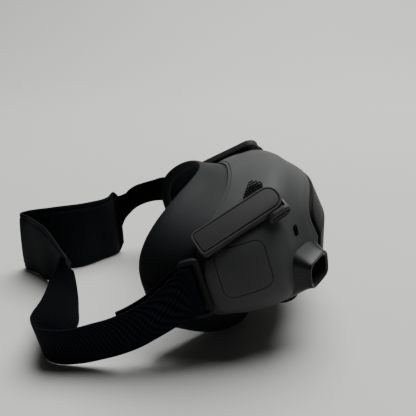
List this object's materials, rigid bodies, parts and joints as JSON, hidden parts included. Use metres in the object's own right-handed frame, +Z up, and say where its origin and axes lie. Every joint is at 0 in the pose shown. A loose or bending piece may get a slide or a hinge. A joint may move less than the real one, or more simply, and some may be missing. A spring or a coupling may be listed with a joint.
{
  "type": "video goggles",
  "caption": "Dark grey head-worn video goggles with folded blade antennas, side touch panel, angled air outlets, soft black face mask and an elastic headband with a slotted rear pad.",
  "frame": {"origin": "on the surface the goggles rest on, under the middle of the whole object with its headband laid out behind", "axes": "+Z up, -Y the way the wearer looks, -X the side of the wearer's right eye; the goggles rest front-up on the mask's cheeks, pitched 17 degrees, with the headband standing on its edge"},
  "size_m": [0.1648, 0.2028, 0.0902],
  "materials": {
    "shell": "satin moulded shell, very fine grain",
    "frame": "satin moulded frame",
    "gloss": "polished black window",
    "mask": "soft skinned foam, matt with a faint sheen",
    "antenna": "satin, slightly warmer than the shell",
    "trim": "matt black",
    "mesh": "matt black perforated grille",
    "steel": "drawn bright",
    "alloy": "plain milled",
    "lens": "coated optical glass",
    "board": "green circuit board",
    "screen": "dark display glass",
    "webbing": "coarse woven elastic webbing",
    "pad": "smooth knitted fabric over thin padding"
  },
  "bodies": {
    "goggles": {"main_housing": "shell", "front_bezel": "shell", "front_plate": "gloss", "mask_frame": "frame", "touch_panel": "frame", "face_mask": "mask", "nose_flap": "mask", "outlet_shell_right": "trim", "outlet_shell_left": "trim", "outlet_mesh_right": "mesh", "outlet_mesh_left": "mesh", "vent_mesh_right": "mesh", "vent_mesh_left": "mesh", "antenna_knuckle_right": "trim", "antenna_knuckle_left": "trim", "antenna_pin_right": "steel", "antenna_pin_left": "steel", "rail_upper": "steel", "rail_lower": "steel", "eye_panel": "trim", "main_board": "board", "heat_sink": "alloy", "fan_casing": "trim", "power_socket": "steel", "audio_jack": "trim", "status_light": "lens", "strap_bracket_right": "frame", "strap_bracket_left": "frame", "strap_right": "webbing", "strap_left": "webbing", "rear_pad": "pad"},
    "antenna_right": {"antenna_right": "antenna", "antenna_cover_right": "antenna"},
    "antenna_left": {"antenna_left": "antenna", "antenna_cover_left": "antenna"},
    "carriage_right": {"lens_barrel_right": "trim", "display_right": "screen", "rail_shoe_upper_right": "trim", "rail_shoe_lower_right": "trim"},
    "focus_right": {"focus_ring_right": "frame", "eyepiece_lens_right": "lens"},
    "knob_right": {"focus_knob_right": "trim"},
    "carriage_left": {"lens_barrel_left": "trim", "display_left": "screen", "rail_shoe_upper_left": "trim", "rail_shoe_lower_left": "trim"},
    "focus_left": {"focus_ring_left": "frame", "eyepiece_lens_left": "lens"},
    "knob_left": {"focus_knob_left": "trim"},
    "fan": {"fan_rotor": "trim"},
    "button": {"link_button": "trim"}
  },
  "joints": [
    {"name": "antenna_right_fold", "type": "hinge", "parent": "goggles", "child": "antenna_right", "pos_m": [-0.05815, -0.06512, 0.08581], "axis": [0.6809, 0.5154, 0.5203], "range_deg": [0, 85]},
    {"name": "antenna_left_fold", "type": "hinge", "parent": "goggles", "child": "antenna_left", "pos_m": [0.06085, -0.06512, 0.08581], "axis": [0.6809, -0.5154, -0.5203], "range_deg": [0, 85]},
    {"name": "eye_distance_right", "type": "slide", "parent": "goggles", "child": "carriage_right", "axis": [-1, 0, 0], "range_m": [-0.004, 0.004]},
    {"name": "focus_knob_right_turn", "type": "hinge", "parent": "carriage_right", "child": "knob_right", "pos_m": [-0.03065, -0.07629, 0.01644], "axis": [0, 0.2924, 0.9563], "range_deg": [-150, 150]},
    {"name": "focus_right_slide", "type": "slide", "parent": "carriage_right", "child": "focus_right", "axis": [0, 0.9563, -0.2924], "range_m": [-0.002, 0.002]},
    {"name": "eye_distance_left", "type": "slide", "parent": "goggles", "child": "carriage_left", "axis": [1, 0, 0], "range_m": [-0.004, 0.004]},
    {"name": "focus_knob_left_turn", "type": "hinge", "parent": "carriage_left", "child": "knob_left", "pos_m": [0.03335, -0.07629, 0.01644], "axis": [0, 0.2924, 0.9563], "range_deg": [-150, 150]},
    {"name": "focus_left_slide", "type": "slide", "parent": "carriage_left", "child": "focus_left", "axis": [0, 0.9563, -0.2924], "range_m": [-0.002, 0.002]},
    {"name": "fan_spin", "type": "hinge", "parent": "goggles", "child": "fan", "pos_m": [0.01935, -0.08621, 0.0613], "axis": [0, 0.9563, -0.2924], "continuous": true},
    {"name": "button_press", "type": "slide", "parent": "goggles", "child": "button", "axis": [0, 0.2924, 0.9563], "range_m": [0, 0.0006], "stiffness_N_per_m": 600, "springref_m": -0.0004}
  ],
  "couplings": [
    {"joint": "focus_knob_right_turn", "follows": "focus_right_slide", "rad_per_m": 1308.9},
    {"joint": "focus_knob_left_turn", "follows": "focus_left_slide", "rad_per_m": 1308.9}
  ]
}
